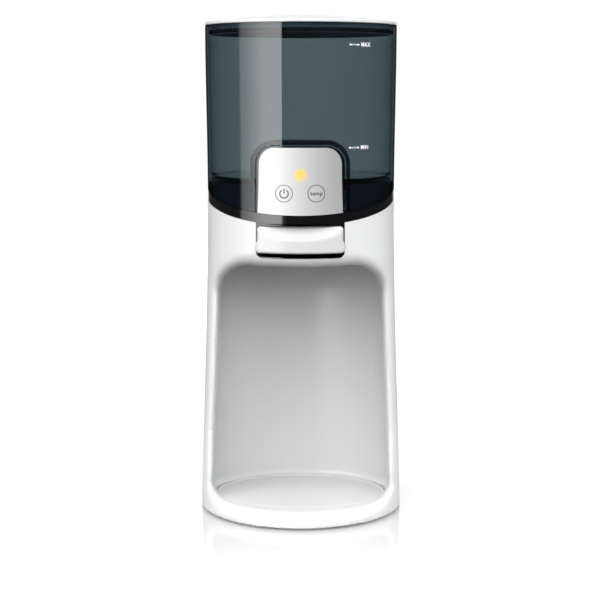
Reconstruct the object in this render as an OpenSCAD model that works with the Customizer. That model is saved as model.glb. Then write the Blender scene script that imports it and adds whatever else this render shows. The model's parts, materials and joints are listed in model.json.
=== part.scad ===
// Countertop warm-water dispenser for baby formula.
// Millimetres. +Z is up, the bottle bay faces -Y, and the origin is the centre of the base on the table.
// Every horizontal section of the outside is an oval, wider at the base than at the waist.

/* [Outline] */
// Width of the base at the table
base_w = 150; // [148:1:153]
// Width at the waist, where the tank meets the body
waist_w = 138; // [136.5:0.5:139]
// Width at the rim of the tank
rim_w = 140.4; // [139.5:0.1:141]
// Depth of every section for each millimetre of its width
depth_ratio = 1.1; // [1.08:0.01:1.12]
// Height of the rim of the tank
rim_z = 358; // [356:1:365]
// Wall thickness of the white housing
wall = 2.5; // [2.2:0.1:2.8]

/* [Bottle bay] */
// Height of the bay's ceiling at its mouth
bay_top = 189; // [186:1:189]
// Height of the surface that the bottle stands on
tray_top = 12.4; // [12:0.1:13]
// Half width of the bay at the tray
bay_low_half = 66.5; // [66:0.5:67.5]
// Half width of the bay where the side walls meet the ceiling's corners
bay_high_half = 60.8; // [60.2:0.2:63]
// Radius of the ceiling's corners, seen from the front
bay_corner = 24; // [20:1:28]

/* [Dock and tank] */
// Height of the body's top edge at its sides
dock_side_z = 234; // [233:0.5:235]
// Height of the black band between the body and the tank
band_h = 7; // [6:0.5:8]
// Fall of the band towards the front, in degrees
dock_tilt = 12.4; // [11:0.2:13]
// Thickness of the tank's wall
tank_wall = 2.5; // [2.2:0.1:2.8]
// Height of the tank's floor, where the water starts
floor_z = 249; // [249:0.2:250]

/* [Controls] */
// Half width of the white control panel
panel_half = 30; // [29:0.2:30.2]
// Height of the top of the control panel
panel_top = 271.6; // [270:0.2:272]
// Radius of each push button
button_r = 6.1; // [5.5:0.1:6.4]
// Distance between the two buttons' centres
button_gap = 22.6; // [21:0.2:24]
// Height of the buttons' centres
button_z = 239.9; // [239:0.2:241]
// Height of the status light's centre
light_z = 253; // [252:0.2:256]

/* [Lever] */
// Half width of the thumb lever
lever_half = 30.3; // [29:0.1:30.4]
// Height of the lever's lower edge
lever_low = 199.4; // [199:0.2:200]
// Height of the lever's upper edge
lever_high = 216.5; // [215:0.5:216.5]

/* [Hidden] */

far = 120;          // past the object on every side
smooth = 96;        // segments of a large oval
gap = 0.3;          // between pieces that are fitted together
slack = 0.05;       // radial clearance of a shaft in its hole
waist_z = 236;
base_z = 1.2;       // the housing's lower edge, held off the table by the feet
seam_y = 20;        // where the front and the rear housing meet

// The band levels out behind this line
level_y = 24;
level_radius = 60;
level_z = dock_side_z + level_y * tan(dock_tilt);

// The bay's oval floor
bay_y = -11.4;
bay_depth = 53.6;
bay_half = 65.8;
tray_half = 63.2;
tray_depth = 51.2;
tray_thick = 3;
toe_radius = 9;

// The dock's plinth fills the tank's skirt
plinth_inset = tank_wall + gap;
plinth_top = floor_z - 3.6;
tank_under = floor_z - 3;
cage_top = floor_z + 18;
plunger_low = floor_z + 5.5;
plunger_r = 10.5;
skirt_lift = band_h + gap;

// The socket that the tank's valve plugs into
socket_y = 32;
socket_r = 14;
socket_floor = plinth_top - 12;
spigot_r = 11.5;
port_r = 8;

// The pod that carries the control panel, and the pocket of the tank around it
pod_half = panel_half + 1.3;
pod_top = panel_top + 1.1;
pod_back = -60;
pod_corner = 12;
pocket_half = pod_half + 0.6;
pocket_top = pod_top + 0.7;
pocket_wall = 2.6;
panel_proud = 0.6;
panel_back = 1.1;
switch_back = -64.8;

// The lever turns on a pin across its frame
pivot_y = -46;
pivot_z = 209;
pin_r = 1.5;
frame_half = lever_half + 0.9;
frame_low = lever_low - 4;
frame_wall = 0.7;
lever_proud = 3.2;
lever_corner = 2.4;
scoop_y = -86;
scoop_z = 222;
scoop_r = 16;

// The outlet valve stands over the nozzle, in the middle of the bay
valve_y = -12;
ceiling = bay_top + wall;
seat_z = ceiling + 1.8;
stem_r = 2;
disc_z = seat_z + 2.1;
chamber_top = seat_z + 10.8;
stub_z = seat_z + 6;
stub_r = 4;
stub_bore = 2.6;
fork_z = pivot_z + 1.5;

// The heater sits behind the valve, under the dock's socket
pot_r = 28;
pot_low = ceiling + 3.4;
pot_high = pot_low + 24;

// The lid, its liner and the gasket in the liner's groove
lid_rim = 2.6;
lid_rise = 7.2;
liner_drop = 6.8;
liner_inset = tank_wall + 1.6;
groove = 1;
gasket_low = rim_z - liner_drop + 0.8;
gasket_high = gasket_low + 2.6;

board_y = 50;
board_low = 60;
board_high = 150;
board_half = 34;
supply_low = 74;
plug_high = 136;
inlet_low = 18.2;
inlet_high = 31.8;
cable_x = 22;
cable_half = 6;
cable_z = 231.4;
standoffs = [for (x = [-28, 28], z = [66, 144]) [x, z]];
foot_places = [for (x = [-42, 42], y = [-48, 48]) [x, y]];
front_screws = [[-35, -38], [35, -38]];
rear_screws = [[-30, 62], [30, 62]];

// ---------- the outline ----------

// Share of the way out from the waist to the base, from 0 at the waist to 1 at the table
function flare(t) = 2.1 * t * t - 1.1 * t * t * t;

function below_waist(z) = waist_w + (base_w - waist_w) * flare((waist_z - z) / waist_z);

function above_waist(z) =
  waist_w + (rim_w - waist_w) * (1 - cos(180 * min(1, (z - waist_z) / (rim_z - waist_z)))) / 2;

function half_width(z) = (z < waist_z ? below_waist(z) : above_waist(z)) / 2;

// Turns half of a front view into an oval body, a quarter at a time
module oval_turn(ratio = depth_ratio) {
  for (x = [0, 1], y = [0, 1])
    mirror([x, 0, 0]) mirror([0, y, 0])
      scale([1, ratio, 1])
        rotate_extrude(angle = 90, $fn = smooth)
          children();
}

// The outside's solid form between two heights, drawn in by inset
module form(low, high, inset = 0, steps = 6) {
  side = [for (i = [0:steps]) let (z = low + (high - low) * i / steps) [half_width(z) - inset, z]];
  oval_turn() polygon(concat([[0, low]], side, [[0, high]]));
}

// An upright oval block in the bay, around the tray's centre
module tray_oval(half, low, high) {
  translate([0, bay_y, 0])
    oval_turn(tray_depth / tray_half)
      translate([0, low]) square([half, high - low]);
}

// The line in side view that parts the body from the tank: tilted in front, level behind
function parting_line(lift) = concat(
  [[-far, dock_side_z + lift - far * tan(dock_tilt)]],
  [for (a = [dock_tilt:-dock_tilt / 4:0])
    [level_y + level_radius * (tan(dock_tilt / 2) - sin(a)), level_z + lift - level_radius * (1 - cos(a))]],
  [[far, level_z + lift]]
);

// Everything above or below the parting line
module parting_side(lift, end) { side_prism(concat(parting_line(lift), [[far, end], [-far, end]])); }
module above_parting(lift) { parting_side(lift, level_z + 2 * far); }
module below_parting(lift) { parting_side(lift, -far); }

// A side view's outline (Y across, Z up) taken through the whole width
module side_prism(points) {
  rotate([90, 0, 90])
    translate([0, 0, -far])
      linear_extrude(2 * far)
        polygon(points);
}

// A front view's outline (X across, Z up) taken from one depth to another
module front_prism(near, back) {
  translate([0, back, 0])
    rotate([90, 0, 0])
      linear_extrude(back - near)
        children();
}

// A solid cylinder along Y, and one along X
module rod_y(r, near, back) {
  translate([0, near, 0])
    rotate([-90, 0, 0])
      cylinder(r = r, h = back - near, $fn = 48);
}
module rod_x(r, half) {
  rotate([0, 90, 0])
    cylinder(r = r, h = 2 * half, center = true, $fn = 48);
}

// A block centred in X
module block(half, near, back, low, high) {
  translate([-half, near, low])
    cube([2 * half, back - near, high - low]);
}

module pillar(r, low, high) { translate([0, 0, low]) cylinder(r = r, h = high - low, $fn = 64); }

module tube(r, bore, low, high) {
  difference() {
    pillar(r, low, high);
    pillar(bore, low - 1, high + 1);
  }
}

// A round-topped outline that stands on the line z = low
module arch(half, low, high, r) {
  translate([-half, low]) square([2 * half, high - r - low]);
  translate([r - half, low]) square([2 * (half - r), high - low]);
  for (side = [-1, 1]) translate([side * (half - r), high - r]) circle(r, $fn = 64);
}

// A coil spring's wire, with its lower end at z = low
module coil(r, wire, low, high, turns) {
  sides = 6;
  steps = turns * 16;
  rise = (high - low - 2 * wire) / steps;
  ring = [for (i = [0:steps], j = [0:sides - 1])
    let (a = i * 360 / 16, b = j * 360 / sides, out = r + wire * cos(b))
      [out * cos(a), out * sin(a), low + wire + i * rise + wire * sin(b)]];
  skin = [for (i = [0:steps - 1], j = [0:sides - 1])
    let (k = (j + 1) % sides)
      [i * sides + j, (i + 1) * sides + j, (i + 1) * sides + k, i * sides + k]];
  ends = [[for (j = [0:sides - 1]) j], [for (j = [sides - 1:-1:0]) steps * sides + j]];
  polyhedron(ring, concat(skin, ends), convexity = 4);
}

// ---------- white housing ----------

// The bottle bay's space, or with grow the outside of its lining
module bay(grow, low) {
  high_half = bay_high_half + grow;
  low_half = bay_low_half + grow;
  corner = bay_corner + grow;
  top = bay_top + grow;
  mouth = concat(
    [[-low_half, low], [low_half, low]],
    [for (a = [0:9:90]) [high_half - corner + corner * cos(a), top - corner + corner * sin(a)]],
    [for (a = [90:9:180]) [corner - high_half + corner * cos(a), top - corner + corner * sin(a)]]
  );
  intersection() {
    front_prism(-far, far) polygon(mouth);
    translate([0, bay_y, low])
      linear_extrude(bay_top + grow - low + 1)
        union() {
          scale([bay_half + grow, bay_depth + grow]) circle(1, $fn = smooth);
          translate([-bay_low_half - grow - 1, -far]) square([2 * (bay_low_half + grow + 1), far]);
        }
  }
}

// The shell of the body, up to the parting line
module body_shell() {
  difference() {
    intersection() {
      form(base_z, level_z + 1, 0, 8);
      below_parting(0);
    }
    form(-1, level_z + 2, wall, 8);
  }
}

// What rounding the toe's upper edge takes away
module toe_round() {
  r = half_width(tray_top);
  x = r - toe_radius;
  z = tray_top - toe_radius;
  intersection() {
    oval_turn() polygon(concat(
      [[r + 4, z], [r + 4, tray_top + 1], [x, tray_top + 1]],
      [for (a = [90:-15:0]) [x + toe_radius * cos(a), z + toe_radius * sin(a)]]
    ));
    block(far, -far, -36, 0, tray_top + 2);
  }
}

module front_housing() {
  color("white")
    difference() {
      union() {
        intersection() {
          body_shell();
          block(far, -far, seam_y, 0, rim_z);
        }
        intersection() {
          form(base_z + 1, level_z, 1, 8);
          bay(wall, tray_top - tray_thick - wall);
        }
        for (p = front_screws) translate(p) pillar(3.5, 4.5, tray_top - tray_thick - 1);
        for (p = standoffs) translate([p.x, 0, p.y]) rod_y(3.2, 38.5, board_y);
      }
      bay(0, tray_top);
      toe_round();
      tray_oval(tray_half + 0.4, tray_top - tray_thick - 0.1, tray_top + 1);
      block(frame_half + 0.1, -far, pivot_y, frame_low - 0.1, rim_z);
      translate([0, valve_y, 0]) pillar(5.2, bay_top - 2, ceiling + 1);
      for (p = front_screws) translate(p) pillar(1.5, 4, tray_top - tray_thick - 0.7);
      for (p = standoffs) translate([p.x, 0, p.y]) rod_y(1.3, 43, board_y + 1);
    }
}

module rear_housing() {
  color("white")
    difference() {
      union() {
        intersection() {
          body_shell();
          block(far, seam_y + gap, far, 0, rim_z);
        }
        for (p = rear_screws) translate(p) pillar(4, 4.5, 30);
      }
      for (p = rear_screws) translate(p) pillar(1.5, 4, 12);
      block(11, 60, far, 18, 32);
      for (x = [-30:7.5:30]) translate([x, 0, 0]) block(1.2, 60, far, 208, 222);
    }
}

module base_plate() {
  color("lightgray")
    difference() {
      form(1.8, 4.3, wall + gap, 1);
      for (p = foot_places) translate(p) pillar(7.1, 1, 3);
      for (p = concat(front_screws, rear_screws)) translate(p) {
        pillar(1.6, 1, 5);
        pillar(3, 1, 3.1);
      }
    }
}

module rubber_feet() {
  color("dimgray")
    for (p = foot_places) translate(p) pillar(7, 0, 2.9);
}

module base_screws() {
  color("silver")
    for (p = concat(front_screws, rear_screws)) translate(p) {
      pillar(2.8, 1.5, 3);
      pillar(1.45, 2, 8.5);
    }
}

module drip_tray() {
  rim = 1.6;
  dish = 0.7;
  color("white")
    difference() {
      tray_oval(tray_half, tray_top - tray_thick, tray_top);
      tray_oval(tray_half - rim, tray_top - dish, tray_top + 1);
    }
}

// ---------- dock and controls ----------

// The space that the pod takes out of the dock
module pod_space() { front_prism(-far, pod_back + gap) arch(pod_half + gap, 200, pod_top, pod_corner); }

module dock_collar() {
  inner = plinth_inset + wall;
  color("black")
    difference() {
      union() {
        intersection() {
          form(205, 250, 0, 3);
          above_parting(0.05);
          below_parting(band_h);
        }
        intersection() {
          form(200, plinth_top, plinth_inset, 3);
          above_parting(-5);
        }
        translate([0, socket_y, 0]) {
          pillar(socket_r + 2, socket_floor - 2, plinth_top - 1);
          pillar(6, socket_floor - 6, socket_floor - 1);
        }
      }
      difference() {
        form(190, plinth_top - wall, inner, 3);
        translate([0, socket_y, 0]) pillar(socket_r + 2, 190, rim_z);
      }
      intersection() {
        pod_space();
        above_parting(band_h);
      }
      block(26, -70, pod_back, 190, 260);
      block(frame_half + 0.1, -far, pivot_y + 8, 190, 218.4);
      translate([0, socket_y, 0]) {
        pillar(socket_r, socket_floor, rim_z);
        pillar(4, 190, rim_z);
      }
    }
  color("black")
    translate([0, socket_y, 0]) socket_pin();
}

// The pin that opens the tank's valve, on three ribs over the hole that feeds the heater
module socket_pin() {
  pillar(2.2, socket_floor - 1.5, socket_floor + 4.4);
  for (a = [0:120:240]) rotate([0, 0, a]) translate([-0.6, 0, socket_floor - 1.5]) cube([1.2, 5, 1.2]);
}

module socket_seal() {
  color("gray")
    translate([0, socket_y, 0]) tube(socket_r - 0.4, port_r + 0.6, socket_floor + 0.02, socket_floor + 2.4);
}

module control_pod() {
  color("black")
    difference() {
      intersection() {
        form(215, 285, panel_back + 0.1, 3);
        front_prism(-far, pod_back) arch(pod_half, 200, pod_top, pod_corner + 1);
        above_parting(band_h + 0.1);
      }
      front_prism(-far, pod_back - 2) arch(pod_half - 2, 200, pod_top - 2, pod_corner - 1);
      translate([cable_x, 0, 0]) block(cable_half + 1, pod_back - 4, pod_back + 1, cable_z - 1, cable_z + 2);
    }
}

module control_panel() {
  color("white")
    difference() {
      intersection() {
        form(215, 285, -panel_proud, 3);
        front_prism(-far, pod_back) arch(panel_half, 200, panel_top, pod_corner);
        above_parting(band_h + gap);
      }
      form(210, 290, panel_back, 3);
      for (side = [-1, 1]) translate([side * button_gap / 2, 0, button_z]) rod_y(button_r + 0.15, -far, 0);
    }
}

// A short light pipe between the status light and the back of the panel
module status_lens() {
  color("gold")
    intersection() {
      form(215, 285, panel_back + 0.1, 3);
      translate([0, 0, light_z]) rod_y(3, -far, -70.6);
    }
}

module status_led() {
  color("khaki")
    translate([0, 0, light_z]) {
      rod_y(1.8, -70.5, -66);
      rod_y(2.4, -66, switch_back - 0.02);
    }
}

// One push button, its face following the panel, with a flange that keeps it in
module button(side) {
  color("white") {
    intersection() {
      form(215, 285, -panel_proud, 3);
      translate([side * button_gap / 2, 0, button_z]) rod_y(button_r, -far, -70);
    }
    translate([side * button_gap / 2, 0, button_z]) rod_y(button_r + 0.8, -70.6, -69.4);
  }
}
module power_button() { button(-1); }
module temp_button() { button(1); }

module button_switches() {
  color("dimgray")
    for (side = [-1, 1]) translate([side * button_gap / 2, 0, 0]) {
      block(3, -67.6, switch_back - 0.02, button_z - 3, button_z + 3);
      translate([0, 0, button_z]) rod_y(1.5, -68.5, -67);
    }
}

module control_board() {
  color("darkgreen")
    block(25, switch_back, switch_back + 1.6, 230, 262);
}

// ---------- lever and outlet valve ----------

module lever_frame() {
  color("black")
    difference() {
      intersection() {
        form(185, 240, 0.1, 3);
        below_parting(-0.1);
        front_prism(-far, pivot_y + 7)
          mirror([0, 1]) arch(frame_half, -218.2, -frame_low, 4);
      }
      front_prism(-far, pivot_y + 6)
        mirror([0, 1]) arch(frame_half - frame_wall, -217, -frame_low - frame_wall, 3);
      block(5.5, -60, 0, 202, 216);
      translate([0, pivot_y, pivot_z]) rod_x(pin_r + 0.02, 40);
    }
}

module lever_pin() {
  color("silver")
    translate([0, pivot_y, pivot_z]) rod_x(pin_r, frame_half + 1.5);
}

module dispense_lever() {
  paddle_back = -66;
  color("white")
    difference() {
      union() {
        intersection() {
          form(185, 240, -lever_proud, 3);
          front_prism(-far, paddle_back)
            translate([0, (lever_low + lever_high) / 2])
              offset(r = lever_corner)
                square([2 * lever_half, lever_high - lever_low] - 2 * lever_corner * [1, 1], center = true);
        }
        block(27, paddle_back - 1, pivot_y, pivot_z - 3, pivot_z + 3);
        translate([0, pivot_y, pivot_z]) rod_x(4, 29);
        block(4, pivot_y, valve_y + 5, fork_z - 3, fork_z);
      }
      translate([0, scoop_y, scoop_z]) rod_x(scoop_r, 2 * lever_half);
      translate([0, pivot_y, pivot_z]) rod_x(pin_r + slack, 40);
      block(stem_r + 0.3, valve_y - stem_r - 0.6, 0, 200, 220);
    }
}

module valve_stem() {
  color("lightgray")
    translate([0, valve_y, 0]) {
      pillar(stem_r, disc_z + 0.6, fork_z + 4.6);
      pillar(stem_r + 1.4, fork_z + 0.6, fork_z + 2.6);
      pillar(3.4, disc_z + 2, disc_z + 3);
    }
}

module valve_disc() {
  color("gray")
    translate([0, valve_y, 0])
      difference() {
        pillar(5.6, disc_z, disc_z + 1.98);
        pillar(stem_r + 0.01, disc_z + 0.58, disc_z + 3);
      }
}

module valve_spring() {
  color("silver")
    translate([0, valve_y, 0]) coil(2.9, 0.35, disc_z + 3.1, chamber_top - 0.1, 3);
}

module valve_body() {
  color("lightgray")
    translate([0, valve_y, 0])
      difference() {
        union() {
          pillar(9, seat_z, chamber_top + 2);
          translate([0, 0, stub_z]) rod_y(stub_r, 7, 12);
        }
        pillar(6.8, seat_z + 2, chamber_top);
        pillar(3, seat_z - 1, seat_z + 3);
        pillar(stem_r + slack, chamber_top - 1, chamber_top + 3);
        translate([0, 0, stub_z]) rod_y(stub_bore, 5, 13);
      }
}

module spout_nozzle() {
  tip = bay_top - 4.5;
  color("lightgray")
    translate([0, valve_y, 0])
      difference() {
        union() {
          pillar(5, tip, ceiling + 1);
          pillar(8, ceiling + 0.1, seat_z - 0.1);
        }
        pillar(3, tip - 1, seat_z + 1);
      }
}

module outlet_hose() {
  near = valve_y + 9.2;
  color("gainsboro")
    translate([0, 0, stub_z])
      difference() {
        rod_y(stub_r + 1.4, near, socket_y - pot_r - 0.4);
        rod_y(stub_r + 0.02, near - 1, socket_y);
      }
}

// ---------- heater ----------

module heater_mount() {
  color("dimgray")
    translate([0, socket_y, 0])
      difference() {
        pillar(pot_r + 2, ceiling + 0.05, pot_low + 4);
        pillar(pot_r + 0.2, pot_low - 0.02, pot_low + 5);
        pillar(pot_r - 3, ceiling - 1, pot_low + 5);
        translate([0, 0, stub_z]) rod_y(stub_r + 2, -pot_r - 4, 0);
      }
}

module heater_plate() {
  color("tan")
    translate([0, socket_y, 0]) pillar(pot_r - 3.5, pot_low - 2.6, pot_low - 0.05);
}

module heater_pot() {
  color("silver")
    translate([0, socket_y, 0])
      difference() {
        union() {
          pillar(pot_r, pot_low, pot_high);
          translate([0, 0, stub_z]) rod_y(stub_r, -pot_r - 3.6, -pot_r + 3);
        }
        pillar(pot_r - 1, pot_low + 1, pot_high + 1);
        translate([0, 0, stub_z]) rod_y(stub_bore, -pot_r - 5, 0);
      }
}

module heater_lid() {
  color("lightgray")
    translate([0, socket_y, 0])
      difference() {
        union() {
          pillar(pot_r, pot_high + 0.02, pot_high + 3);
          pillar(pot_r - 1.2, pot_high - 3, pot_high + 1);
          pillar(6, pot_high + 2, pot_high + 7);
        }
        pillar(4, pot_high - 4, pot_high + 8);
        translate([16, 0, 0]) pillar(2.52, pot_high - 4, pot_high + 4);
      }
}

module inlet_hose() {
  color("gainsboro")
    translate([0, socket_y, 0]) tube(8, 6.02, pot_high + 3.1, socket_floor - 2.1);
}

module temperature_probe() {
  color("silver")
    translate([16, socket_y, 0]) {
      pillar(2.5, pot_high - 10, pot_high + 6);
      pillar(4, pot_high + 3.05, pot_high + 5);
    }
}

// ---------- electrics ----------

module main_board() {
  color("darkgreen")
    difference() {
      union() {
        block(board_half, board_y, board_y + 1.6, board_low, board_high);
        translate([-12, 0, 0]) block(9, board_y + 1, board_y + 14, supply_low, 96);
        translate([12, 0, 0]) block(7, board_y + 1, board_y + 11, 76, 92);
        translate([-10, 0, 110]) rod_y(5, board_y + 1, board_y + 12);
        block(9, board_y + 1, board_y + 7, plug_high - 12, plug_high);
        translate([cable_x, 0, 0])
          block(cable_half + 1, board_y + 1, board_y + 14.5, plug_high - 8, plug_high);
      }
      for (p = standoffs) translate([p.x, 0, p.y]) rod_y(1.5, board_y - 1, board_y + 3);
    }
}

module board_screws() {
  color("silver")
    for (p = standoffs) translate([p.x, 0, p.y]) {
      rod_y(2.5, board_y + 1.62, board_y + 3.4);
      rod_y(1.25, board_y - 6, board_y + 2);
    }
}

// A figure-of-eight mains socket, its face just inside the rear wall
module power_inlet() {
  color("black")
    difference() {
      union() {
        block(10.8, 62, 80.6, inlet_low, inlet_high);
        block(13, 62, 68, inlet_low - 1, inlet_high + 1);
      }
      for (side = [-1, 1]) translate([side * 3.6, 0, 25]) rod_y(3.2, 70, far);
      block(3.6, 70, far, 21.8, 28.2);
    }
  color("silver")
    for (side = [-1, 1]) translate([side * 3.6, 0, 25]) rod_y(1.1, 69, 78);
}

// Two upright wires, each at its own x
module wires(places, y, low, high) {
  color("firebrick")
    for (x = places) translate([x, y, 0]) pillar(1.1, low, high);
}
module heater_wires() { wires([-6, 6], 54.5, plug_high + 0.1, pot_low - 2.7); }
module mains_wires() { wires([-11, -7], 63.4, inlet_high + 1.1, supply_low - 0.1); }

// A flat cable from the control board back under the dock, and down to the main board
module control_cable() {
  thick = 0.8;
  back = 64;
  color("gray")
    translate([cable_x, 0, 0]) {
      block(cable_half, switch_back + 1.7, back, cable_z, cable_z + thick);
      block(cable_half, back - thick, back, plug_high + 0.1, cable_z + thick);
    }
}

// ---------- tank and lid ----------

module tank_pocket(grow, back) {
  front_prism(-far, back) arch(pocket_half + grow, 190, pocket_top + grow, pod_corner + 1.5 + grow);
}

module water_tank() {
  color("darkslategray", 0.8)
    difference() {
      union() {
        difference() {
          intersection() {
            form(215, rim_z, 0, 6);
            above_parting(skirt_lift);
          }
          difference() {
            form(floor_z, rim_z + 5, tank_wall, 4);
            tank_pocket(pocket_wall, pod_back + 0.6 + pocket_wall);
          }
          form(190, tank_under, tank_wall, 3);
        }
        translate([0, socket_y, 0]) pillar(spigot_r, socket_floor + 2.5, floor_z - 1);
      }
      tank_pocket(0, pod_back + 0.6);
      translate([0, socket_y, 0]) pillar(port_r, 190, floor_z + 5);
    }
}

// Holds the plunger upright over the port and carries its spring
module tank_valve_cage() {
  color("darkslategray")
    translate([0, socket_y, 0])
      difference() {
        pillar(14, floor_z + 0.02, cage_top);
        pillar(12, floor_z - 1, cage_top - 2);
        pillar(stem_r + slack, cage_top - 3, cage_top + 1);
        for (a = [0:60:120]) rotate([0, 0, a]) translate([-20, -4, floor_z + 3]) cube([40, 8, 10]);
      }
}

module tank_plunger() {
  color("lightgray")
    translate([0, socket_y, 0]) {
      pillar(stem_r, socket_floor + 4.5, floor_z + 22);
      pillar(plunger_r, plunger_low, plunger_low + 1.5);
    }
}

module plunger_seal() {
  color("gray")
    translate([0, socket_y, 0]) tube(plunger_r, stem_r + 0.02, plunger_low - 1.4, plunger_low - 0.02);
}

module plunger_spring() {
  color("silver")
    translate([0, socket_y, 0]) coil(5, 0.5, floor_z + 7.1, floor_z + 15.9, 4);
}

module tank_lid() {
  r = half_width(rim_z);
  edge = r - 0.8;
  thick = 2.2;
  low = rim_z + 0.1;
  color("white")
    oval_turn() polygon(concat(
      [[0, rim_z + lid_rise - thick], [edge - 6, low], [r, low], [r, rim_z + lid_rim - 0.8]],
      [for (i = [0:6]) let (t = i / 6) [edge * (1 - t), rim_z + lid_rim + (lid_rise - lid_rim) * t * (2 - t)]]
    ));
}

// The lid's dark liner drops inside the tank and holds the gasket in a groove
module lid_liner() {
  outer = half_width(rim_z) - liner_inset;
  thick = 2;
  low = rim_z - liner_drop;
  color("dimgray")
    oval_turn() polygon([
      [0, rim_z - thick], [outer - 2 * thick, rim_z - thick], [outer - 2 * thick, low], [outer, low],
      [outer, gasket_low - 0.1], [outer - groove, gasket_low - 0.1], [outer - groove, gasket_high + 0.1],
      [outer, gasket_high + 0.1], [outer, rim_z], [0, rim_z]
    ]);
}

module lid_gasket() {
  inner = half_width(rim_z) - liner_inset - groove + gap / 2;
  color("black")
    oval_turn()
      translate([inner, gasket_low])
        square([liner_inset + groove - tank_wall - gap, gasket_high - gasket_low]);
}

front_housing();
rear_housing();
base_plate();
rubber_feet();
base_screws();
drip_tray();
dock_collar();
socket_seal();
control_pod();
control_panel();
status_lens();
status_led();
button_switches();
control_board();
power_button();
temp_button();
lever_frame();
lever_pin();
dispense_lever();
valve_stem();
valve_disc();
valve_spring();
valve_body();
spout_nozzle();
outlet_hose();
heater_mount();
heater_plate();
heater_pot();
heater_lid();
inlet_hose();
temperature_probe();
main_board();
board_screws();
power_inlet();
mains_wires();
heater_wires();
control_cable();
water_tank();
tank_valve_cage();
tank_plunger();
plunger_seal();
plunger_spring();
tank_lid();
lid_liner();
lid_gasket();
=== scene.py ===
import json
import math

import bmesh
import bpy
import numpy as np
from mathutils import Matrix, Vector


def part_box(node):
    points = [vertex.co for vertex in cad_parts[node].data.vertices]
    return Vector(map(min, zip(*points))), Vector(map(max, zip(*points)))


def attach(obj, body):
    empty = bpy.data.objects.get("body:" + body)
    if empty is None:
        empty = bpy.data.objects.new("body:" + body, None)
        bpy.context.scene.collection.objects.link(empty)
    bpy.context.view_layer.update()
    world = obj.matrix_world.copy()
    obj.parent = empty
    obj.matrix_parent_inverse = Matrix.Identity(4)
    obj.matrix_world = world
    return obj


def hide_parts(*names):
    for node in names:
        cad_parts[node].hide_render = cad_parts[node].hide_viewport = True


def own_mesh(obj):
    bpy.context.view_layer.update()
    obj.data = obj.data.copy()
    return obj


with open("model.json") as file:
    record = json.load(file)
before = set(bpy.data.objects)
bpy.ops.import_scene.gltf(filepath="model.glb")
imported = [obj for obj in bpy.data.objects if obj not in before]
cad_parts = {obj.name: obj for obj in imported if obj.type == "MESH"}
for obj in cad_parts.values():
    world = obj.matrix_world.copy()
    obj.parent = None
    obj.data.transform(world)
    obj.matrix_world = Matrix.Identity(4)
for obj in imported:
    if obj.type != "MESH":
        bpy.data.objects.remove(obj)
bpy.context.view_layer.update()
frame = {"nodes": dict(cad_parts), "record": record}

# Lengths in this script are millimetres until a mesh is made; MM turns them into metres.
MM = 0.001


def cad_box(node):
    """The lowest and highest corner of a CAD node, in millimetres."""
    low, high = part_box(node)
    return np.array(low) / MM, np.array(high) / MM


# ---------- sizes taken from the CAD part ----------

BODY_LOW = cad_box("front_housing")[0]
TANK_HIGH = cad_box("water_tank")[1]
TRAY_LOW, TRAY_HIGH = cad_box("drip_tray")
PANEL_HIGH = cad_box("control_panel")[1]
POD_HIGH = cad_box("control_pod")[1]
LENS_LOW, LENS_HIGH = cad_box("status_lens")
LEVER_FRAME_LOW, LEVER_FRAME_HIGH = cad_box("lever_frame")
NOZZLE_LOW, NOZZLE_HIGH = cad_box("spout_nozzle")
SOCKET_LOW, SOCKET_HIGH = cad_box("socket_seal")
LID_LOW, LID_HIGH = cad_box("tank_lid")
LINER_LOW, LINER_HIGH = cad_box("lid_liner")
GASKET_LOW, GASKET_HIGH = cad_box("lid_gasket")
PIN_LOW, PIN_HIGH = cad_box("lever_pin")

# ---------- design values shared with the CAD part ----------

BASE_HALF = 75.0
WAIST_HALF = 69.0
RIM_HALF = 70.2
WAIST_Z = 236.0
RIM_Z = TANK_HIGH[2]
DEPTH_RATIO = 1.1
WALL = 2.5
TANK_WALL = 2.5
GAP = 0.3
BASE_Z = BODY_LOW[2]
FAR = 120.0

DOCK_SIDE_Z = 234.0
DOCK_TILT = math.radians(12.4)
LEVEL_Y = 24.0
LEVEL_RADIUS = 60.0
LEVEL_Z = DOCK_SIDE_Z + LEVEL_Y * math.tan(DOCK_TILT)
BAND_HEIGHT = 7.0
SKIRT_LIFT = BAND_HEIGHT + GAP
FLOOR_Z = 249.0
PLINTH_TOP = FLOOR_Z - 3.6
TANK_UNDER = FLOOR_Z - 3.0
PLINTH_INSET = TANK_WALL + GAP
POD_BACK = -60.0
POD_CORNER = 12.0
PANEL_BACK = 1.1
PANEL_PROUD = 0.6
PANEL_CORE = 20.0
PANEL_TAPER = 0.9
PANEL_HALF = PANEL_HIGH[0]
PANEL_TOP = PANEL_HIGH[2]
POD_HALF = POD_HIGH[0]
POD_TOP = POD_HIGH[2]
POCKET_HALF = POD_HALF + 0.6
POCKET_TOP = POD_TOP + 0.7
POCKET_WALL = 3.3
SEAM_Y = 20.0

BAY_Y = -11.4
BAY_DEPTH = 53.6
BAY_TOP = 187.5
BAY_LOW_HALF = 66.3
BAY_HIGH_HALF = 57.8
TRAY_TOP = TRAY_HIGH[2]
TRAY_THICK = TRAY_TOP - TRAY_LOW[2]
TRAY_HALF = TRAY_HIGH[0]
TRAY_DEPTH = (TRAY_HIGH[1] - TRAY_LOW[1]) / 2

BUTTON_R = 6.1
BUTTON_X = 11.3
BUTTON_Z = 239.9
LIGHT_Z = (LENS_LOW[2] + LENS_HIGH[2]) / 2

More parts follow.
